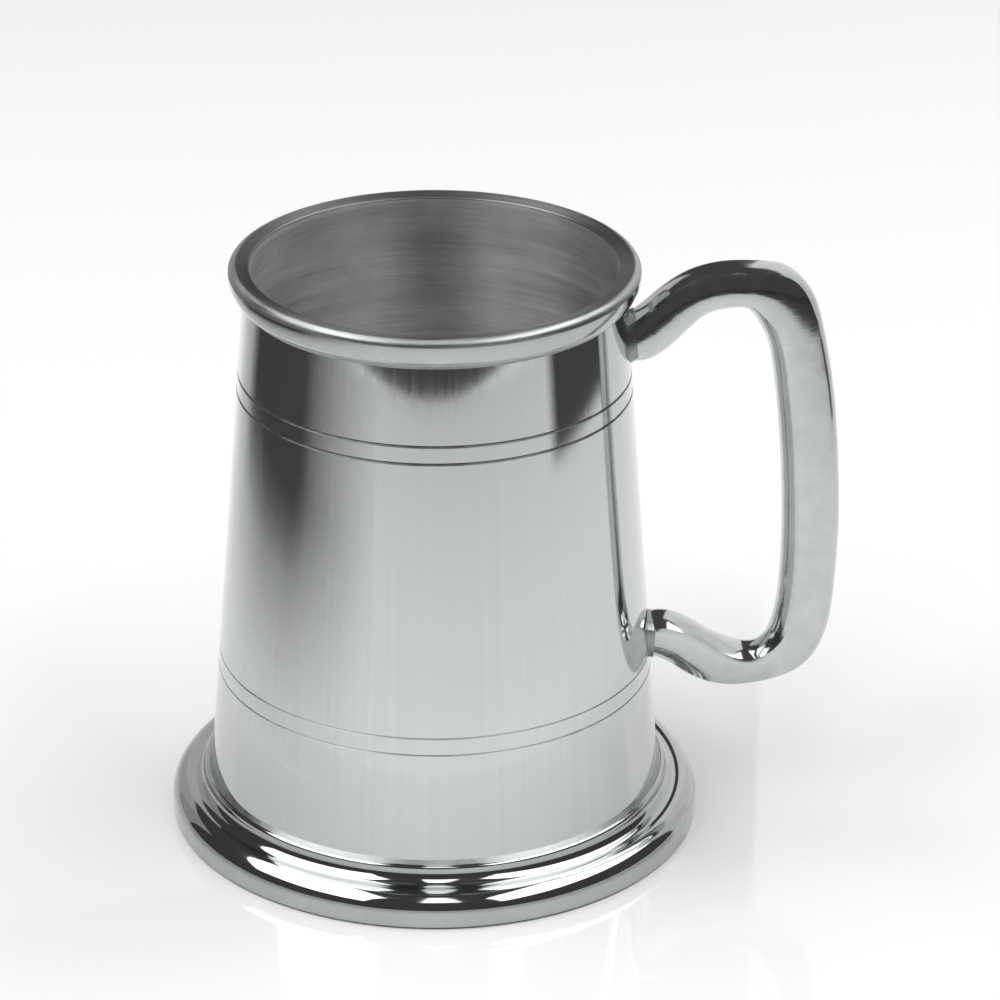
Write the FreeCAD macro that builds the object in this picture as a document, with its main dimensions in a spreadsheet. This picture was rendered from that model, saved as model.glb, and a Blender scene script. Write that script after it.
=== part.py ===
"""Pewter tankard: a tapering barrel with a rounded lip, a spreading foot and one squared-loop handle.

The origin is on the barrel's axis at the resting plane, +Z is up, and the handle points along +X.
Every piece of the real tankard is its own object; the pieces are soft-soldered together.
"""
import FreeCAD, Part

import os
import re
from math import atan2, degrees, sqrt

import Sketcher
from FreeCAD import Placement, Rotation, Vector

doc = FreeCAD.newDocument("tankard")

# ---------------------------------------------------------------- driving dimensions, mm

DIMENSIONS = [
    # barrel: a sheet cone, standing in the foot and reaching up inside the lip ring
    ("barrel_bottom_z", "8.6"),
    ("barrel_top_z", "118.4"),
    ("barrel_bottom_radius", "46.25"),
    ("barrel_top_radius", "37.55"),
    ("wall", "1"),
    ("taper", "=(barrel_bottom_radius - barrel_top_radius) / (barrel_top_z - barrel_bottom_z)"),
    # turned lines: two pairs of V cuts
    ("line_gap", "3.53"),
    ("upper_lines_z", "95.7"),
    ("upper_line_width", "0.6"),
    ("upper_line_depth", "0.2"),
    ("lower_lines_z", "35.25"),
    ("lower_line_width", "0.36"),
    ("lower_line_depth", "0.12"),
    # lip ring
    ("overall_height", "120"),
    ("lip_radius", "40.74"),
    ("lip_bottom_z", "113.8"),
    ("lip_bottom_width", "0.45"),
    ("lip_flank_z", "115.6"),
    ("lip_flank_inset", "0.7"),
    ("lip_flank_round", "2.6"),
    ("lip_side_bottom_z", "117.2"),
    ("lip_crest_round", "1.5"),
    ("lip_land_fall", "0.4"),
    ("lip_edge_round", "0.4"),
    # floor
    ("floor_bottom_z", "8.6"),
    ("floor_thickness", "1.4"),
    # foot
    ("foot_radius", "54.3"),
    ("foot_edge_height", "3.1"),
    ("foot_edge_chamfer", "0.45"),
    ("foot_sheet", "1.5"),
    ("foot_top_z", "10.35"),
    ("bead_inset", "0.75"),
    ("bead_radius", "0.7"),
    ("cove_centre_radius", "50.1"),
    ("cove_radius", "2.5"),
    ("ovolo_start_radius", "50.5"),
    ("ovolo_top_z", "6.95"),
    ("seat_radius", "44.4"),
    ("seat_z", "8.6"),
    ("seat_thickness", "0.9"),
    # handle section: a flat-sided casting, crowned along its back and along its belly
    ("back_half_width", "3.5"),
    ("belly_half_width", "4.6"),
    ("side_bulge", "0.7"),
    # solder
    ("lip_bevel", "0.7"),
    ("floor_fillet", "1.2"),
    ("foot_bevel", "0.7"),
    ("collar_root_growth", "0.9"),
    ("collar_tip_growth", "0.2"),
]

sheet = doc.addObject("Spreadsheet::Sheet", "sizes")
aliases = []


def add_size(name, text):
    """Put one size on its own row of the sheet, under its own alias."""
    aliases.append(name)
    sheet.set("A%d" % len(aliases), name)
    sheet.set("B%d" % len(aliases), text)
    sheet.setAlias("B%d" % len(aliases), name)


for size_name, size_text in DIMENSIONS:
    add_size(size_name, size_text)

# Handle stations, from the upper joint round to the lower one. Each gives a point on the back
# (outer) edge and the point facing it on the belly (inner) edge, as x and z, and then how far the
# back and the belly are crowned there. The first and the last station lie inside the barrel, whose
# surface trims the casting.
STATIONS = [
    (34.5, 104.6, 35.5, 98.6, 0.4, 1.8),
    (38.6, 108.3, 39.3, 99.5, 0.4, 1.8),
    (44.8, 113.8, 48.4, 104.2, 0.4, 1.8),
    (50.2, 117.3, 53.6, 109.2, 0.4, 1.8),
    (56.5, 119.1, 57.9, 110.6, 0.4, 1.8),
    (63.2, 119.3, 61.4, 110.6, 0.4, 1.9),
    (70.0, 118.1, 63.4, 108.6, 0.4, 2.1),
    (74.3, 114.1, 65.2, 105.4, 0.9, 2.8),
    (77.3, 105.2, 66.7, 100.8, 1.2, 3.1),
    (79.4, 94.0, 68.0, 92.3, 1.2, 3.1),
    (80.9, 80.0, 69.3, 79.6, 1.2, 3.1),
    (81.7, 64.0, 70.1, 64.0, 1.2, 3.1),
    (81.3, 50.0, 70.0, 51.0, 1.2, 3.1),
    (79.8, 39.0, 69.0, 42.6, 1.2, 3.1),
    (76.6, 32.8, 67.4, 38.2, 1.2, 2.3),
    (71.9, 29.6, 65.0, 35.8, 1.1, 1.4),
    (66.0, 27.9, 62.2, 35.4, 1.0, 0.9),
    (60.0, 27.3, 59.3, 36.4, 1.0, 0.8),
    (54.7, 28.4, 56.7, 37.8, 1.0, 0.8),
    (49.4, 31.4, 52.0, 40.7, 1.0, 0.8),
    (43.9, 34.2, 43.9, 41.9, 1.0, 0.8),
    (38.5, 36.5, 38.5, 41.9, 1.0, 0.8),
]

STATION_COLUMNS = ("back_x", "back_z", "belly_x", "belly_z", "back_crown", "belly_crown")

for number, coordinates in enumerate(STATIONS):
    for column, coordinate in zip(STATION_COLUMNS, coordinates):
        add_size("%s_%02d" % (column, number), str(coordinate))
doc.recompute()

# Where the two sections of a solder collar lie, as shares of the way from the station at the
# barrel's surface to the stations inside and outside it.
COLLAR_ROOT_SHARE = 0.5
COLLAR_TIP_SHARE = 0.13

# ---------------------------------------------------------------- helpers


ALIAS_PATTERN = re.compile("|".join(r"\b%s\b" % alias for alias in aliases))


def in_sheet(text):
    """Write an expression of aliases as an expression on the sheet."""
    return ALIAS_PATTERN.sub(lambda found: "sizes." + found.group(), text)


def amount(text):
    """Work out an expression of aliases as a number."""
    return float(sheet.evalExpression(in_sheet(text)))


def surface(z_text):
    """Expression for the radius of the barrel's outer surface at a height."""
    return "(barrel_bottom_radius - taper * ((%s) - barrel_bottom_z))" % z_text


def new_body(label):
    body = doc.addObject("PartDesign::Body", label)
    body.Label = label
    return body


def sketch_on(body, name, role):
    """A sketch attached to one of the body's own origin planes."""
    plane = next(feature for feature in body.Origin.OriginFeatures if feature.Role == role)
    sketch = body.newObject("Sketcher::SketchObject", name)
    sketch.AttachmentSupport = [(plane, "")]
    sketch.MapMode = "FlatFace"
    return sketch


def arc_between(start, end, radius, side):
    """Arc from start to end that bulges to the right (+1) or the left (-1) of the way it travels."""
    chord = end - start
    across = Vector(chord.y, -chord.x, 0).normalize() * side
    rise = radius - sqrt(max(radius ** 2 - chord.Length ** 2 / 4, 0))
    return Part.Arc(start, (start + end) / 2 + across * rise, end)


def draw_outline(sketch, corners):
    """Draw a closed outline and bind it to the sheet.

    Each corner is (x, y) for a straight edge to the next corner, or (x, y, radius, side) for an
    arc to it; x, y and radius are expressions of sheet aliases.
    """
    points = [Vector(amount(corner[0]), amount(corner[1]), 0) for corner in corners]
    ends = []
    for index, corner in enumerate(corners):
        start = points[index]
        end = points[(index + 1) % len(points)]
        if len(corner) == 2:
            geometry = sketch.addGeometry(Part.LineSegment(start, end), False)
        else:
            arc = arc_between(start, end, amount(corner[2]), corner[3])
            geometry = sketch.addGeometry(arc, False)
            radius = sketch.addConstraint(Sketcher.Constraint("Radius", geometry, amount(corner[2])))
            sketch.setExpression("Constraints[%d]" % radius, in_sheet(corner[2]))
        forward = sketch.getPoint(geometry, 1).distanceToPoint(start) < 1e-6
        ends.append((geometry, 1, 2) if forward else (geometry, 2, 1))
    for index, (geometry, first, last) in enumerate(ends):
        following = ends[(index + 1) % len(ends)]
        sketch.addConstraint(Sketcher.Constraint("Coincident", geometry, last, following[0], following[1]))
        for kind, now, text in (
            ("DistanceX", points[index].x, corners[index][0]),
            ("DistanceY", points[index].y, corners[index][1]),
        ):
            distance = sketch.addConstraint(Sketcher.Constraint(kind, -1, 1, geometry, first, now))
            sketch.setExpression("Constraints[%d]" % distance, in_sheet(text))


def turn(body, name, outlines, kind="PartDesign::Revolution"):
    """Turn one or more outlines, drawn as radius and height, about the axis."""
    sketch = sketch_on(body, name + "_outline", "XZ_Plane")
    for outline in outlines:
        draw_outline(sketch, outline)
    feature = body.newObject(kind, name)
    feature.Profile = sketch
    feature.ReferenceAxis = (sketch, ["V_Axis"])
    feature.Angle = 360
    doc.recompute()
    return feature


# ---------------------------------------------------------------- barrel and floor


def line_cut(z_text, width, depth):
    """V cut into the barrel's surface, centred on a height, with its open side proud of the metal."""
    proud = "0.3"
    return [
        ("%s + %s" % (surface("%s - %s / 2" % (z_text, width)), proud), "%s - %s / 2" % (z_text, width)),
        ("%s + %s" % (surface("%s + %s / 2" % (z_text, width)), proud), "%s + %s / 2" % (z_text, width)),
        (surface("%s + %s / 2" % (z_text, width)), "%s + %s / 2" % (z_text, width)),
        ("%s - %s" % (surface(z_text), depth), z_text),
        (surface("%s - %s / 2" % (z_text, width)), "%s - %s / 2" % (z_text, width)),
    ]


def make_barrel():
    body = new_body("barrel")
    turn(body, "barrel_sheet", [[
        ("barrel_bottom_radius - wall", "barrel_bottom_z"),
        ("barrel_bottom_radius", "barrel_bottom_z"),
        ("barrel_top_radius", "barrel_top_z"),
        ("barrel_top_radius - wall", "barrel_top_z"),
    ]])
    cuts = []
    for pair in ("upper", "lower"):
        for half_gap in ("- line_gap / 2", "+ line_gap / 2"):
            height = "(%s_lines_z %s)" % (pair, half_gap)
            cuts.append(line_cut(height, pair + "_line_width", pair + "_line_depth"))
    turn(body, "turned_lines", cuts, "PartDesign::Groove")
    return body


def make_floor_disc():
    disc = doc.addObject("Part::Cone", "floor_disc")
    disc.Label = "floor_disc"
    disc.setExpression("Radius1", in_sheet(surface("floor_bottom_z") + " - wall"))
    disc.setExpression("Radius2", in_sheet(surface("floor_bottom_z + floor_thickness") + " - wall"))
    disc.setExpression("Height", in_sheet("floor_thickness"))
    disc.setExpression("Placement.Base.z", in_sheet("floor_bottom_z"))
    return disc


# ---------------------------------------------------------------- lip and foot


def make_lip_ring():
    body = new_body("lip_ring")
    bore = "barrel_top_radius - wall"
    turn(body, "lip_moulding", [[
        (surface("lip_bottom_z"), "lip_bottom_z"),
        (surface("lip_bottom_z") + " + lip_bottom_width", "lip_bottom_z"),
        ("lip_radius - lip_flank_inset", "lip_flank_z", "lip_flank_round", 1),
        ("lip_radius", "lip_side_bottom_z"),
        ("lip_radius", "overall_height - lip_crest_round", "lip_crest_round", 1),
        ("lip_radius - lip_crest_round", "overall_height"),
        (bore + " + lip_edge_round", "overall_height - lip_land_fall", "lip_edge_round", 1),
        (bore, "overall_height - lip_land_fall - lip_edge_round"),
        (bore, "barrel_top_z"),
        ("barrel_top_radius", "barrel_top_z"),
    ]])
    return body


def make_foot_moulding():
    body = new_body("foot_moulding")
    bead_start = surface("foot_top_z") + " + bead_inset"
    cove_centre_z = "(ovolo_top_z + cove_radius)"
    inner_cove_radius = "(cove_radius + foot_sheet)"
    seat_bottom_z = "(seat_z - seat_thickness)"
    inner_cove_end = "cove_centre_radius - sqrt(%s^2 - (%s - %s)^2)" % (
        inner_cove_radius, cove_centre_z, seat_bottom_z)
    turn(body, "foot_section", [[
        (surface("seat_z"), "seat_z"),
        (surface("foot_top_z"), "foot_top_z"),
        (bead_start, "foot_top_z", "bead_radius", -1),
        (bead_start + " + bead_radius", "foot_top_z - bead_radius"),
        ("cove_centre_radius - cove_radius", cove_centre_z, "cove_radius", 1),
        ("cove_centre_radius", "ovolo_top_z"),
        ("ovolo_start_radius", "ovolo_top_z", "ovolo_top_z - foot_edge_height", -1),
        ("foot_radius", "foot_edge_height"),
        ("foot_radius", "foot_edge_chamfer"),
        ("foot_radius - foot_edge_chamfer", "0"),
        ("foot_radius - foot_sheet", "0"),
        ("foot_radius - foot_sheet", "foot_edge_height", "ovolo_top_z - foot_edge_height - foot_sheet", 1),
        ("ovolo_start_radius", "ovolo_top_z - foot_sheet"),
        ("cove_centre_radius", "ovolo_top_z - foot_sheet", inner_cove_radius, -1),
        (inner_cove_end, seat_bottom_z),
        ("seat_radius", seat_bottom_z),
        ("seat_radius", "seat_z"),
    ]])
    return body


# ---------------------------------------------------------------- solder seams round the body


def make_seam(label, corners):
    """A ring of solder. The seams outside are dressed to flat bevels, the one inside is hollow."""
    body = new_body(label)
    turn(body, label + "_section", [corners])
    return body


def make_lip_solder():
    low = "lip_bottom_z - lip_bevel"
    return make_seam("lip_solder", [
        (surface("lip_bottom_z") + " + lip_bottom_width", "lip_bottom_z"),
        (surface(low), low),
        (surface("lip_bottom_z"), "lip_bottom_z"),
    ])


def make_floor_solder():
    floor_top = "(floor_bottom_z + floor_thickness)"
    high = floor_top + " + floor_fillet"
    return make_seam("floor_solder", [
        (surface(floor_top) + " - wall - floor_fillet", floor_top, "floor_fillet * 1.1", 1),
        (surface(high) + " - wall", high),
        (surface(floor_top) + " - wall", floor_top),
    ])


def make_foot_solder():
    high = "foot_top_z + foot_bevel"
    return make_seam("foot_solder", [
        (surface("foot_top_z") + " + foot_bevel", "foot_top_z"),
        (surface(high), high),
        (surface("foot_top_z"), "foot_top_z"),
    ])


# ---------------------------------------------------------------- handle


def section(body, name, station, growth="0"):
    """Cross-section of the handle casting: crowned back and belly, bulging sides, crisp corners.

    The sketch's x runs from the belly to the back and its y runs across the handle.
    """
    back_x, back_z, belly_x, belly_z, back_crown, belly_crown = station
    depth = "%f" % sqrt((back_x - belly_x) ** 2 + (back_z - belly_z) ** 2)
    sketch = sketch_on(body, name, "XY_Plane")
    tilt = degrees(atan2(back_z - belly_z, back_x - belly_x))
    middle = Vector((back_x + belly_x) / 2, 0, (back_z + belly_z) / 2)
    sketch.AttachmentOffset = Placement(middle, Rotation(Vector(0, 1, 0), -tilt))
    back = "%s / 2 - %f + %s" % (depth, back_crown, growth)
    belly = "%f - %s / 2 - %s" % (belly_crown, depth, growth)
    back_half = "(back_half_width + %s)" % growth
    belly_half = "(belly_half_width + %s)" % growth
    back_round = "%s^2 / %f / 2 + %f / 2" % (back_half, back_crown, back_crown)
    belly_round = "%s^2 / %f / 2 + %f / 2" % (belly_half, belly_crown, belly_crown)
    chord_squared = "((%s - (%s))^2 + (belly_half_width - back_half_width)^2)" % (back, belly)
    side_round = "%s / side_bulge / 8 + side_bulge / 2" % chord_squared
    draw_outline(sketch, [
        (back, "-" + back_half, back_round, 1),
        (back, back_half, side_round, 1),
        (belly, belly_half, belly_round, 1),
        (belly, "-" + belly_half, side_round, 1),
    ])
    return sketch


def loft(body, name, sections):
    feature = body.newObject("PartDesign::AdditiveLoft", name)
    feature.Profile = sections[0]
    feature.Sections = sections[1:]
    doc.recompute()
    return feature


def clear_of_barrel(body, name, low, high):
    """Cut a casting off at the barrel's outer surface, between two heights."""
    well_inside = "10"
    turn(body, name, [[
        (well_inside, low),
        (surface(low), low),
        (surface(high), high),
        (well_inside, high),
    ]], "PartDesign::Groove")


def station_values(number):
    return tuple(amount("%s_%02d" % (name, number)) for name in STATION_COLUMNS)


def part_way(first, second, share):
    """Station a share of the way from one station to another."""
    return tuple(a + (b - a) * share for a, b in zip(first, second))


def make_handle():
    body = new_body("handle")
    sections = [
        section(body, "section_%02d" % number, station_values(number)) for number in range(len(STATIONS))
    ]
    loft(body, "casting", sections)
    clear_of_barrel(body, "joint_faces", "barrel_bottom_z", "barrel_top_z")
    return body


def make_collar(label, inside, at_barrel, outside, handle):
    """Collar of solder round one end of the handle, tapering to a thin edge on the casting."""
    body = new_body(label + "_blank")
    root_station = part_way(at_barrel, inside, COLLAR_ROOT_SHARE)
    tip_station = part_way(at_barrel, outside, COLLAR_TIP_SHARE)
    root = section(body, label + "_root", root_station, "collar_root_growth")
    tip = section(body, label + "_tip", tip_station, "collar_tip_growth")
    loft(body, label + "_taper", [root, tip])
    clear_of_barrel(body, label + "_seat", "barrel_bottom_z", "barrel_top_z")
    collar = doc.addObject("Part::Cut", label)
    collar.Label = label
    collar.Base = body
    collar.Tool = handle
    return collar


# ---------------------------------------------------------------- build, check and write out

handle = make_handle()
last = len(STATIONS) - 1
pieces = [
    make_barrel(),
    make_lip_ring(),
    make_lip_solder(),
    make_floor_disc(),
    make_floor_solder(),
    make_foot_moulding(),
    make_foot_solder(),
    handle,
    make_collar("upper_handle_solder", station_values(0), station_values(1), station_values(2), handle),
    make_collar(
        "lower_handle_solder", station_values(last), station_values(last - 1), station_values(last - 2), handle
    ),
]
doc.recompute()

for item in doc.Objects:
    if "Invalid" in item.State or "Error" in item.State:
        raise RuntimeError("%s is %s" % (item.Name, item.State))
for piece in pieces:
    if piece.Shape.isNull() or not piece.Shape.isValid() or len(piece.Shape.Solids) != 1:
        raise RuntimeError("%s has no single valid solid" % piece.Label)

os.makedirs("parts", exist_ok=True)
for piece in pieces:
    piece.Shape.exportStep("parts/%s.step" % piece.Label)
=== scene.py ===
"""Looks of the pewter tankard: its pieces with their pewter finishes, a pale floor and a soft studio.

Lengths are in metres, in the frame of the CAD model, except the turned outlines, which are in
millimetres. The barrel's axis is Z and the handle points along +X.
"""

import math

import bpy
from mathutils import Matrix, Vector


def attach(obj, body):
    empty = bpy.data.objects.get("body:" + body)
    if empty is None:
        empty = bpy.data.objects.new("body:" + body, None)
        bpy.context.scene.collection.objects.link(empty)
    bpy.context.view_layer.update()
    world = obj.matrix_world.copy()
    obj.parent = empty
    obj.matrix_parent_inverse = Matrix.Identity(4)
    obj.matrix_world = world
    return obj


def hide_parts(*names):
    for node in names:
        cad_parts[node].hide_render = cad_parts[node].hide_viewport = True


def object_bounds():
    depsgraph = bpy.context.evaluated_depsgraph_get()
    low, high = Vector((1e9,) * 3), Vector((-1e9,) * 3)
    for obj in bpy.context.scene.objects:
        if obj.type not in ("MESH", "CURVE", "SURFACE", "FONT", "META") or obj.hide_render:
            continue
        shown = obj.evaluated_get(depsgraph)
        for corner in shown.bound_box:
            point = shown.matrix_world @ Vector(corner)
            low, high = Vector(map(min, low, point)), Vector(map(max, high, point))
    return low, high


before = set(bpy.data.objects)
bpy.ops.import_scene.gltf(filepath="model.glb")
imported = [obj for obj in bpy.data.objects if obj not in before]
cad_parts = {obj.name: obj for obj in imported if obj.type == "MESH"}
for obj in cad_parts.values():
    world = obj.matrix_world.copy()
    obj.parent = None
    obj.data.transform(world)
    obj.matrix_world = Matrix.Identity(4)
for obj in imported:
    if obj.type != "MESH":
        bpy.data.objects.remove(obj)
cad_low, cad_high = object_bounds()
height = cad_high.z


# ---------------------------------------------------------------- camera

CAMERA_ELEVATION = math.radians(25.37)
CAMERA_DISTANCE = 0.87491
CAMERA_LENS = 155.41
CAMERA_SHIFT = (0.0653, 0.0370)


def make_camera():
    """A long lens, looking down on the tankard so that the back of its mouth and its inner wall show."""
    target = Vector((0, 0, height / 2))
    data = bpy.data.cameras.new("camera")
    data.sensor_width = 36
    data.lens = CAMERA_LENS
    data.shift_x, data.shift_y = CAMERA_SHIFT
    data.clip_start = 0.05
    data.clip_end = 50
    camera = bpy.data.objects.new("camera", data)
    back = Vector((0, -math.cos(CAMERA_ELEVATION), math.sin(CAMERA_ELEVATION)))
    camera.location = target + back * CAMERA_DISTANCE
    camera.rotation_euler = (-back).to_track_quat("-Z", "Y").to_euler()
    bpy.context.scene.collection.objects.link(camera)
    bpy.context.scene.camera = camera


# ---------------------------------------------------------------- node materials


class Shader:
    """Short calls for building one node material."""

    def __init__(self, name):
        self.material = bpy.data.materials.new(name)
        self.material.use_nodes = True
        self.nodes = self.material.node_tree.nodes
        self.links = self.material.node_tree.links
        self.principled = self.nodes["Principled BSDF"]

    def set(self, **values):
        """Set sockets of the Principled shader; an underscore stands for a space."""
        for name, value in values.items():
            self.feed(self.principled.inputs[name.replace("_", " ")], value)

    def feed(self, socket, value):
        """Put a number, a colour or another node's output into a socket."""
        if isinstance(value, bpy.types.NodeSocket):
            self.links.new(value, socket)
        else:
            socket.default_value = value

    def node(self, kind, output=0, settings=None, **inputs):
        """Add a node and return one of its outputs; an input named i2 is its third socket."""
        made = self.nodes.new("ShaderNode" + kind)
        for name, value in (settings or {}).items():
            setattr(made, name, value)
        for name, value in inputs.items():
            key = int(name[1:]) if name[1:].isdigit() else name.replace("_", " ")
            self.feed(made.inputs[key], value)
        return made.outputs[output]

    def math(self, operation, first, second=0.0):
        return self.node("Math", settings={"operation": operation}, i0=first, i1=second)

    def spread(self, value, low, high, start=0.3, end=0.7):
        """Map a 0 to 1 noise value to a range, clamped."""
        return self.node("MapRange", i0=value, i1=start, i2=end, i3=low, i4=high)

    def position(self):
        return self.node("TexCoord", output="Object")

    def noise(self, vector, scale, detail=3.0, roughness=0.5):
        return self.node("TexNoise", Vector=vector, Scale=scale, Detail=detail, Roughness=roughness)

    def round_axis(self, angle_stretch, height_stretch, radius_stretch):
        """Coordinates that run round the axis, up it and out from it, each stretched by its own factor."""
        place = self.nodes.new("ShaderNodeSeparateXYZ")
        self.links.new(self.position(), place.inputs[0])
        x, y, z = place.outputs
        angle = self.math("ARCTAN2", y, x)
        squares = self.math("ADD", self.math("MULTIPLY", x, x), self.math("MULTIPLY", y, y))
        radius = self.math("POWER", squares, 0.5)
        return self.node(
            "CombineXYZ",
            X=self.math("MULTIPLY", angle, angle_stretch),
            Y=self.math("MULTIPLY", z, height_stretch),
            Z=self.math("MULTIPLY", radius, radius_stretch),
        )

    def bump(self, height_value, distance, strength=1.0, normal=None):
        """Bump of a real depth, in metres."""
        extra = {} if normal is None else {"Normal": normal}
        return self.node("Bump", Height=height_value, Distance=distance, Strength=strength, **extra)


# Shares of red, green and blue in a grey: pewter's faint cool cast, and almost none.
COOL = (1.0, 1.03, 1.025)
NEUTRAL = (1.0, 1.005, 1.0)


def tinted(shader, factor, dark, light, tint=COOL):
    """A grey between two values, with a faint cast of colour."""
    low = (*(dark * share for share in tint), 1)
    high = (*(light * share for share in tint), 1)
    return shader.node("Mix", output=2, settings={"data_type": "RGBA"}, i0=factor, i6=low, i7=high)


def polished_pewter():
    """Mirror polish with faint upright rubbing marks and a very slight unevenness."""
    shader = Shader("polished_pewter")
    streaks = shader.noise(shader.round_axis(42, 9, 30), 1.0, 5.0, 0.6)
    haze = shader.noise(shader.position(), 22.0, 3.0)
    waviness = shader.noise(shader.round_axis(2.4, 22, 22), 1.0, 1.0)
    marks = shader.bump(streaks, 0.0000009)
    shader.set(
        Metallic=1.0,
        Base_Color=tinted(shader, shader.spread(streaks, 0, 1), 0.58, 0.61),
        Roughness=shader.math("ADD", shader.spread(streaks, 0.03, 0.06), shader.spread(haze, 0.0, 0.03)),
        Normal=shader.bump(waviness, 0.000006, 1.0, marks),
    )
    return shader.material


def ring_polish(name, dark, light, roughness):
    """Polish put on in the lathe, as on the foot and the lip: the faint marks run round the axis."""
    shader = Shader(name)
    rings = shader.noise(shader.round_axis(3.0, 900, 900), 1.0, 3.0)
    haze = shader.noise(shader.position(), 60.0, 4.0, 0.6)
    waviness = shader.noise(shader.round_axis(7, 90, 90), 1.0, 1.0)
    marks = shader.spread(rings, roughness, roughness * 2)
    shader.set(
        Metallic=1.0,
        Base_Color=tinted(shader, shader.spread(haze, 0, 1), dark, light),
        Roughness=shader.math("ADD", marks, shader.spread(haze, 0.0, 0.04)),
        Normal=shader.bump(waviness, 0.000025),
    )
    return shader.material


def satin_pewter(name, dark, light, roughness):
    """Pewter left satin from the lathe: fine rings of scratches, which spread its highlights up and down."""
    shader = Shader(name)
    rings = shader.noise(shader.round_axis(2.0, 3200, 3200), 1.0, 3.0, 0.7)
    broad_rings = shader.noise(shader.round_axis(0.8, 420, 420), 1.0, 2.0)
    clouds = shader.noise(shader.round_axis(2.6, 60, 60), 1.0, 2.0)
    tone = shader.math("ADD", shader.math("MULTIPLY", rings, 0.5), shader.math("MULTIPLY", clouds, 0.5))
    fine = shader.bump(rings, 0.00002)
    shader.set(
        Metallic=1.0,
        Base_Color=tinted(shader, shader.spread(tone, 0, 1, 0.35, 0.65), dark, light, NEUTRAL),
        Roughness=shader.spread(broad_rings, roughness - 0.05, roughness + 0.06),
        Anisotropic=0.8,
        Anisotropic_Rotation=0.25,
        Tangent=shader.node("Tangent", settings={"direction_type": "RADIAL", "axis": "Z"}),
        Normal=shader.bump(broad_rings, 0.00003, 1.0, fine),
    )
    return shader.material


def cast_pewter():
    """A polished casting: shallow ripples, smeared polish and hairline scratches."""
    shader = Shader("cast_pewter")
    place = shader.position()
    ripples = shader.noise(place, 75.0, 2.0)
    smears = shader.noise(place, 190.0, 4.0, 0.65)
    scratches = shader.noise(shader.node("Mapping", Vector=place, Scale=(300, 300, 4000)), 1.0, 2.0)
    rolling = shader.bump(ripples, 0.00022)
    smeared = shader.spread(smears, 0.06, 0.12)
    shader.set(
        Metallic=1.0,
        Base_Color=tinted(shader, shader.spread(smears, 0, 1), 0.50, 0.59),
        Roughness=shader.math("ADD", smeared, shader.spread(scratches, 0.0, 0.05)),
        Normal=shader.bump(scratches, 0.000006, 1.0, rolling),
    )
    return shader.material


def solder():
    """Soft solder, scraped and rubbed down."""
    shader = Shader("solder")
    place = shader.position()
    grain = shader.noise(place, 500.0, 3.0, 0.6)
    lumps = shader.noise(place, 420.0, 2.0)
    shader.set(
        Metallic=1.0,
        Base_Color=tinted(shader, shader.spread(grain, 0, 1), 0.26, 0.34),
        Roughness=shader.spread(grain, 0.26, 0.34),
        Normal=shader.bump(lumps, 0.000002),
    )
    return shader.material


def tarnish(name, dark, light):
    """Painted shade at the bottom of the turned lines: dark, dull metal that stands for the shade in the
    cut.
    """
    shader = Shader(name)
    shade_noise = shader.noise(shader.round_axis(14, 60, 60), 1.0, 4.0)
    shader.set(
        Metallic=1.0,
        Base_Color=tinted(shader, shader.spread(shade_noise, 0, 1), dark, light),
        Roughness=shader.spread(shade_noise, 0.35, 0.5),
    )
    return shader.material


MATERIALS = {
    "polished": polished_pewter(),
    "rings": ring_polish("ring_polish", 0.43, 0.48, 0.03),
    # The crest: a rougher ring polish, and also painted darker than the rings as painted shade.
    "crest": ring_polish("crest_polish_and_painted_shade", 0.36, 0.42, 0.27),
    "satin": satin_pewter("satin_pewter", 0.47, 0.72, 0.52),
    # satin_land: satin pewter, slightly smoother, and painted much darker as painted shade on the lip's top
    # land and the foot's underside.
    "satin_land": satin_pewter("satin_land_pewter_painted_shade", 0.22, 0.30, 0.42),
    "cast": cast_pewter(),
    "solder": solder(),
    # The bottoms of the turned lines are painted dark as painted shade, the upper pair darker than the
    # lower.
    "tarnish": tarnish("tarnish", 0.10, 0.20),
    "faint_tarnish": tarnish("faint_tarnish", 0.40, 0.50),
}


# ---------------------------------------------------------------- turned pieces

MM = 0.001
SEGMENTS = 360
ARC_STEP = math.radians(4)
LONG_EDGE = 20
LONG_EDGE_PIECES = 12
SHARP_ANGLE = 22
LIP_SHARP_ANGLE = 50
FOOT_SHARP_ANGLE = 40

BARREL_BOTTOM = (46.25, 8.6)
BARREL_TOP = (37.55, 118.4)
WALL = 1.0
TAPER = (BARREL_BOTTOM[0] - BARREL_TOP[0]) / (BARREL_TOP[1] - BARREL_BOTTOM[1])
BORE = BARREL_TOP[0] - WALL

LIP_BOTTOM_Z = 113.8
LIP_BOTTOM_WIDTH = 0.45
LIP_BEVEL = 0.7
LIP_RADIUS = 40.74
LIP_UNDERCUT_ROUND = 2.6
LIP_FLANK = (LIP_RADIUS - 0.7, 115.6)
LIP_SIDE_Z = 117.2
LIP_TOP_Z = 120.0
LIP_CREST_ROUND = 1.5
LIP_BORE_ROUND = 0.4
LIP_BORE_ROUND_Z = 119.2
FOOT_TOP_Z = 10.35
FOOT_BEVEL = 0.7
BEAD_INSET = 0.75
BEAD_RADIUS = 0.7
COVE_TOP = (47.6, 9.45)
COVE_RADIUS = 2.5
SHOULDER = (50.1, 50.5)
SHOULDER_Z = 6.95
FOOT_RADIUS = 54.3
FOOT_WALL = 1.5
OVOLO_RADIUS = 3.85
OVOLO_END_Z = 3.1
FOOT_EDGE_CHAMFER = 0.45
FOOT_BORE = 44.4
FOOT_SEAT_Z = 7.7
FLOOR_TOP_Z = 10.0
FLOOR_FILLET = 1.2
FLOOR_FILLET_ROUND = FLOOR_FILLET * 1.1
LINE_GAP = 3.53

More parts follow.
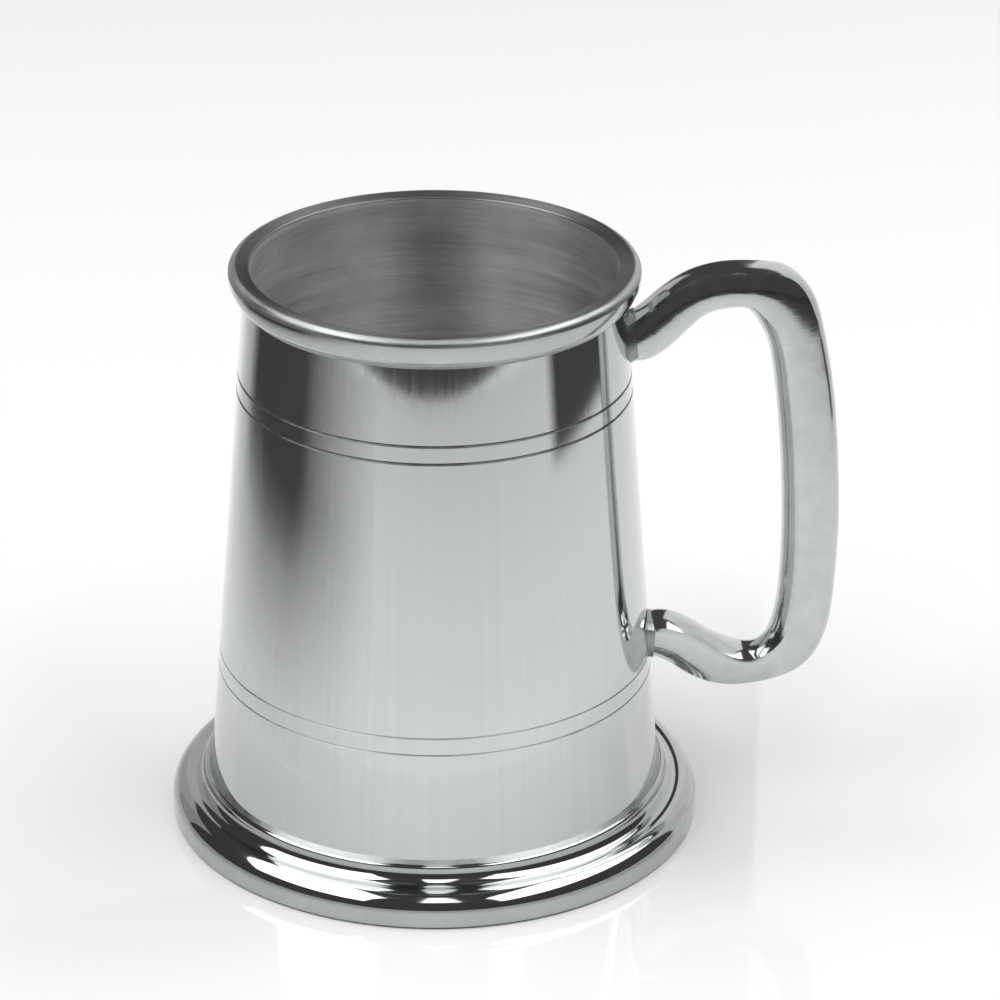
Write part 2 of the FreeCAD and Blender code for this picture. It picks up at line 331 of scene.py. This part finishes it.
# Height of each pair of turned lines, their width and depth, and the painted shade at the bottom of the cut.
TURNED_LINES = ((35.25, 0.36, 0.12, "faint_tarnish"), (95.7, 0.6, 0.2, "tarnish"))


def surface(z):
    """Radius of the barrel's outer surface at a height."""
    return BARREL_BOTTOM[0] - TAPER * (z - BARREL_BOTTOM[1])


def arc_points(start, end, radius, side):
    """Points after start up to end, on an arc that bulges to the right (+1) or left (-1) of its travel."""
    chord = Vector(end) - Vector(start)
    across = Vector((chord.y, -chord.x)).normalized() * side
    half = chord.length / 2
    centre = (Vector(start) + Vector(end)) / 2 - across * math.sqrt(max(radius ** 2 - half ** 2, 0))
    first = Vector(start) - centre
    sweep = 2 * math.asin(min(1.0, half / radius)) * side
    count = max(2, math.ceil(abs(sweep) / ARC_STEP))
    points = []
    for i in range(1, count + 1):
        angle = sweep * i / count
        turned_x = first.x * math.cos(angle) - first.y * math.sin(angle)
        turned_y = first.x * math.sin(angle) + first.y * math.cos(angle)
        points.append((centre.x + turned_x, centre.y + turned_y))
    return points


def profile_points(corners):
    """Turn an outline of corners into points, with the material name of the edge after each.

    A corner is (radius, height, material) for a straight edge to the next one, or
    (radius, height, material, arc radius, side) for an arc.
    """
    points = []
    edges = []
    for i, corner in enumerate(corners):
        start = corner[:2]
        end = corners[(i + 1) % len(corners)][:2]
        if len(corner) == 5:
            run = [start] + arc_points(start, end, corner[3], corner[4])[:-1]
        else:
            pieces = LONG_EDGE_PIECES if math.dist(start, end) > LONG_EDGE else 1
            run = [
                (start[0] + (end[0] - start[0]) * k / pieces, start[1] + (end[1] - start[1]) * k / pieces)
                for k in range(pieces)
            ]
        points += run
        edges += [corner[2]] * len(run)
    return points, edges


def turned(node, corners, sharp_angle=SHARP_ANGLE):
    """A piece turned about the axis from a closed outline in millimetres, standing for a CAD node."""
    points, edges = profile_points(corners)
    count = len(points)
    names = sorted(set(edges))
    vertices = []
    for i in range(SEGMENTS):
        angle = 2 * math.pi * i / SEGMENTS
        for radius, z in points:
            vertices.append((radius * MM * math.cos(angle), radius * MM * math.sin(angle), z * MM))
    faces = []
    slots = []
    for i in range(SEGMENTS):
        this_row = i * count
        next_row = (i + 1) % SEGMENTS * count
        for k in range(count):
            after = (k + 1) % count
            faces.append((this_row + k, next_row + k, next_row + after, this_row + after))
            slots.append(names.index(edges[k]))
    mesh = bpy.data.meshes.new(node + "_turned")
    mesh.from_pydata(vertices, [], faces)
    for name in names:
        mesh.materials.append(MATERIALS[name])
    mesh.polygons.foreach_set("material_index", slots)
    mesh.shade_smooth()
    mesh.set_sharp_from_angle(angle=math.radians(sharp_angle))
    piece = bpy.data.objects.new(node + "_turned", mesh)
    bpy.context.scene.collection.objects.link(piece)
    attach(piece, "root")
    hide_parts(node)
    return piece


def line_corners(z, width, depth, material_key):
    """The three corners of one V cut, going up the barrel's outside."""
    low = z - width / 2
    high = z + width / 2
    # The two slopes of the cut take the painted groove shade; the edge above the cut is polished.
    return [(surface(low), low, material_key), (surface(z) - depth, z, material_key), (surface(high), high, "polished")]


def make_barrel():
    """The outside with its pairs of V cuts, and a plain bore."""
    corners = [(BARREL_BOTTOM[0] - WALL, BARREL_BOTTOM[1], "satin"), (*BARREL_BOTTOM, "polished")]
    for z, width, depth, material_key in TURNED_LINES:
        for centre in (z - LINE_GAP / 2, z + LINE_GAP / 2):
            corners += line_corners(centre, width, depth, material_key)
    corners += [(*BARREL_TOP, "satin"), (BORE, BARREL_TOP[1], "satin")]
    turned("barrel", corners)


def make_lip_ring():
    """The outside from the seam up over the crest, then down the bore to the seat on the barrel."""
    corners = [
        (surface(LIP_BOTTOM_Z), LIP_BOTTOM_Z, "rings"),
        (surface(LIP_BOTTOM_Z) + LIP_BOTTOM_WIDTH, LIP_BOTTOM_Z, "rings", LIP_UNDERCUT_ROUND, 1),
        (*LIP_FLANK, "rings"),
        (LIP_RADIUS, LIP_SIDE_Z, "rings"),
        # The crest and the land take darker copies of their polish, as painted shade.
        (LIP_RADIUS, LIP_TOP_Z - LIP_CREST_ROUND, "crest", LIP_CREST_ROUND, 1),
        (LIP_RADIUS - LIP_CREST_ROUND, LIP_TOP_Z, "satin_land"),
        (BORE + LIP_BORE_ROUND, LIP_BORE_ROUND_Z + LIP_BORE_ROUND, "satin_land", LIP_BORE_ROUND, 1),
        (BORE, LIP_BORE_ROUND_Z, "satin"),
        (BORE, BARREL_TOP[1], "satin"),
        (BARREL_TOP[0], BARREL_TOP[1], "satin"),
    ]
    turned("lip_ring", corners, LIP_SHARP_ANGLE)


def make_foot():
    """The outside from the barrel down to the table, then the hollow inside back up to the barrel."""
    bead_start = surface(FOOT_TOP_Z) + BEAD_INSET
    inside = FOOT_RADIUS - FOOT_WALL
    inner_z = SHOULDER_Z - FOOT_WALL
    inner_cove_radius = COVE_RADIUS + FOOT_WALL
    cove_rise = COVE_TOP[1] - FOOT_SEAT_Z
    inner_cove_end = SHOULDER[0] - math.sqrt(inner_cove_radius ** 2 - cove_rise ** 2)
    corners = [
        (surface(BARREL_BOTTOM[1]), BARREL_BOTTOM[1], "rings"),
        (surface(FOOT_TOP_Z), FOOT_TOP_Z, "rings"),
        (bead_start, FOOT_TOP_Z, "rings", BEAD_RADIUS, -1),
        (bead_start + BEAD_RADIUS, FOOT_TOP_Z - BEAD_RADIUS, "rings"),
        (*COVE_TOP, "rings", COVE_RADIUS, 1),
        (SHOULDER[0], SHOULDER_Z, "rings"),
        (SHOULDER[1], SHOULDER_Z, "rings", OVOLO_RADIUS, -1),
        (FOOT_RADIUS, OVOLO_END_Z, "rings"),
        (FOOT_RADIUS, FOOT_EDGE_CHAMFER, "rings"),
        # The foot's underside takes the darker satin copy, painted shade.
        (FOOT_RADIUS - FOOT_EDGE_CHAMFER, 0.0, "satin_land"),
        (inside, 0.0, "satin_land"),
        (inside, OVOLO_END_Z, "satin_land", OVOLO_RADIUS - FOOT_WALL, 1),
        (SHOULDER[1], inner_z, "satin_land"),
        (SHOULDER[0], inner_z, "satin_land", inner_cove_radius, -1),
        (inner_cove_end, FOOT_SEAT_Z, "satin_land"),
        (FOOT_BORE, FOOT_SEAT_Z, "satin_land"),
        (FOOT_BORE, BARREL_BOTTOM[1], "satin_land"),
    ]
    turned("foot_moulding", corners, FOOT_SHARP_ANGLE)


def make_seams():
    """The seams of lip and foot are flat bevels, and the floor's is a fillet."""
    low = LIP_BOTTOM_Z - LIP_BEVEL
    lip_seam = [
        (surface(LIP_BOTTOM_Z) + LIP_BOTTOM_WIDTH, LIP_BOTTOM_Z, "solder"),
        (surface(low), low, "solder"),
        (surface(LIP_BOTTOM_Z), LIP_BOTTOM_Z, "solder"),
    ]
    high = FOOT_TOP_Z + FOOT_BEVEL
    foot_seam = [
        (surface(FOOT_TOP_Z) + FOOT_BEVEL, FOOT_TOP_Z, "solder"),
        (surface(high), high, "solder"),
        (surface(FOOT_TOP_Z), FOOT_TOP_Z, "solder"),
    ]
    wall_top = FLOOR_TOP_Z + FLOOR_FILLET
    floor_seam = [
        (surface(FLOOR_TOP_Z) - WALL - FLOOR_FILLET, FLOOR_TOP_Z, "solder", FLOOR_FILLET_ROUND, 1),
        (surface(wall_top) - WALL, wall_top, "solder"),
        (surface(FLOOR_TOP_Z) - WALL, FLOOR_TOP_Z, "solder"),
    ]
    seams = {"lip_solder": lip_seam, "foot_solder": foot_seam, "floor_solder": floor_seam}
    for node, corners in seams.items():
        turned(node, corners)


CAD_FINISHES = {
    "floor_disc": "satin",
    "handle": "cast",
    "upper_handle_solder": "solder",
    "lower_handle_solder": "solder",
}


def finish_cad_nodes():
    """The disc, the handle and its collars show as they are in CAD."""
    for node, material_key in CAD_FINISHES.items():
        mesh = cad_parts[node].data
        mesh.materials.clear()
        mesh.materials.append(MATERIALS[material_key])


# ---------------------------------------------------------------- studio

FLOOR_HALF_WIDTH = 4.0
SOFTBOX_HEIGHT = 1.2
CARD_GAP = 0.0006
CARD_STEPS = 24
GLOSS_FADE = (0.06, 0.13)
FLOOR_GLOSS = 0.5
ROOM_COLOUR = (0.075, 0.075, 0.077, 1)
BACKDROP_COLOUR = (0.9, 0.9, 0.9, 1)
PANELS_A_SIDE = 3
PANEL_ANGLE = 18
PANEL_DISTANCE = 0.42
REFLECTION_ONLY = ("camera", "diffuse", "shadow")

# Bearings, distances, feather angle, feather distance and, where there is one, the bow.
# Dark cards are sheets seen only in reflections: painted dark reflections in the pewter.
DARK_CARDS = (
    ("dim_ground", (-150, 150), (0.10, 0.455), 20, 1.1),
    ("dim_left", (-150, -30), (0.10, 0.47), 48, 0.18),
    ("dark_far", (-134, 122), (0.463, 3.0), 8, 0.008),
    ("dark_centre", (-46, 42), (0.442, 0.50), 2, 0.004, 0.022),
    ("dark_left", (-128, -70), (0.21, 0.47), 9, 0.09),
    ("dark_right", (64, 116), (0.31, 0.47), 6, 0.02),
)

# Corners as bearings and distances, and the radiance.
SOFTBOXES = (
    ("left_softbox", ((-31, 0.64), (-31, 2.0), (-86, 2.0), (-165, 1.0)), 3.2),
    ("right_softbox", ((30, 0.75), (30, 1.85), (117, 1.85), (160, 1.10)), 3.3),
    ("front_strip", ((-7, 0.25), (-7, 1.1), (13, 1.1), (13, 0.25)), 2.4),
)

# Side, sign of its bearings, first bearing, height, first glow and the step to the next panel's glow.
SIDE_PANELS = (
    ("left", -1, 118, 0.26, 0.42, 0.12),
    ("right", 1, 112, 0.38, 0.75, 0.10),
)


def stage_piece(name, points, faces, material, hidden_from=()):
    """A stage piece, not part of the tankard, which may be hidden from some kinds of ray."""
    mesh = bpy.data.meshes.new(name)
    mesh.from_pydata(points, [], faces)
    mesh.materials.append(material)
    piece = bpy.data.objects.new(name, mesh)
    bpy.context.scene.collection.objects.link(piece)
    for ray in hidden_from:
        setattr(piece, "visible_" + ray, False)
    return piece


def bearing(azimuth, radius, z=0.0):
    """Point at a bearing from the axis, in degrees from the camera's side, positive to its right."""
    angle = math.radians(azimuth)
    return (radius * math.sin(angle), -radius * math.cos(angle), z)


def floor_material():
    """White acrylic, glossy round the tankard and matt farther out."""
    shader = Shader("floor")
    length = {"operation": "LENGTH"}
    distance = shader.node("VectorMath", output=1, settings=length, i0=shader.position())
    shader.set(
        Base_Color=(0.90, 0.905, 0.90, 1),
        Roughness=0.04,
        Specular_IOR_Level=shader.spread(distance, FLOOR_GLOSS, 0.0, *GLOSS_FADE),
    )
    return shader.material


def dark_card_material():
    """Painted dark reflection: a dark sheet whose strength is carried by the card's own mesh."""
    shader = Shader("dark_card")
    shader.set(
        Base_Color=(0.03, 0.03, 0.03, 1),
        Roughness=0.9,
        Alpha=shader.node("Attribute", output=2, settings={"attribute_name": "strength"}),
    )
    return shader.material


def dark_card(name, material, z, azimuths, radii, feather_angle, feather_radius, bow=0.0):
    """A sector of dark sheet at its own height, seen only in reflections, where it is a painted dark
    reflection. Its edges fade out.

    The inner edge runs farther out by the bow at the two sides.
    """
    steps = CARD_STEPS
    points = []
    faces = []
    strength = []
    for i in range(steps + 1):
        for j in range(steps + 1):
            azimuth = azimuths[0] + (azimuths[1] - azimuths[0]) * i / steps
            near = radii[0] + bow * (2 * i / steps - 1) ** 2
            radius = near + (radii[1] - near) * (j / steps) ** 2
            points.append(bearing(azimuth, radius, z))
            from_side = min(azimuth - azimuths[0], azimuths[1] - azimuth) / feather_angle
            from_edge = (radius - near) / feather_radius
            strength.append(min(1.0, from_side) * min(1.0, from_edge))
    for i in range(steps):
        for j in range(steps):
            first = i * (steps + 1) + j
            faces.append((first, first + steps + 1, first + steps + 2, first + 1))
    card = stage_piece(name, points, faces, material, hidden_from=REFLECTION_ONLY)
    values = card.data.attributes.new("strength", "FLOAT", "POINT")
    values.data.foreach_set("value", strength)


def glow(name, strength):
    """A lit panel."""
    shader = Shader(name)
    shader.set(Base_Color=(0, 0, 0, 1), Specular_IOR_Level=0.0)
    shader.set(Emission_Color=(1, 1, 1, 1), Emission_Strength=strength)
    return shader.material


def softbox(name, corners, radiance):
    """A level softbox over the tankard."""
    points = [bearing(azimuth, radius, SOFTBOX_HEIGHT) for azimuth, radius in corners]
    stage_piece(name, points, [(0, 1, 2, 3)], glow(name, radiance))


def make_world():
    """A dim room, which the camera sees as a pale backdrop where it looks past the floor."""
    world = bpy.data.worlds.new("studio")
    bpy.context.scene.world = world
    world.use_nodes = True
    nodes = world.node_tree.nodes
    links = world.node_tree.links
    room = nodes["Background"]
    room.inputs["Color"].default_value = ROOM_COLOUR
    backdrop = nodes.new("ShaderNodeBackground")
    backdrop.inputs["Color"].default_value = BACKDROP_COLOUR
    seen = nodes.new("ShaderNodeLightPath")
    mix = nodes.new("ShaderNodeMixShader")
    links.new(seen.outputs["Is Camera Ray"], mix.inputs[0])
    links.new(room.outputs[0], mix.inputs[1])
    links.new(backdrop.outputs[0], mix.inputs[2])
    links.new(mix.outputs[0], nodes["World Output"].inputs[0])


def side_panels(side, sign, first_bearing, top, first_glow, glow_step):
    """Upright lit panels round the back of the tankard on one side, seen only in reflections."""
    for place in range(PANELS_A_SIDE):
        near = first_bearing + PANEL_ANGLE * place
        azimuths = sorted((sign * near, sign * (near + PANEL_ANGLE)))
        low, high = (bearing(azimuth, PANEL_DISTANCE) for azimuth in azimuths)
        points = [low, high, (*high[:2], top), (*low[:2], top)]
        material = glow("%s_glow_%d" % (side, place), first_glow + glow_step * place)
        name = "%s_panel_%d" % (side, place)
        stage_piece(name, points, [(0, 1, 2, 3)], material, hidden_from=REFLECTION_ONLY)


def make_studio():
    edge = FLOOR_HALF_WIDTH
    floor = [(-edge, -edge, 0), (edge, -edge, 0), (edge, edge, 0), (-edge, edge, 0)]
    stage_piece("floor", floor, [(0, 1, 2, 3)], floor_material())
    make_world()
    dark = dark_card_material()
    for level, (name, *shape) in enumerate(DARK_CARDS, 1):
        dark_card(name, dark, level * CARD_GAP, *shape)
    for name, corners, radiance in SOFTBOXES:
        softbox(name, corners, radiance)
    for panels in SIDE_PANELS:
        side_panels(*panels)
    bpy.context.scene.view_settings.view_transform = "Standard"


make_camera()
make_barrel()
make_lip_ring()
make_foot()
make_seams()
finish_cad_nodes()
make_studio()
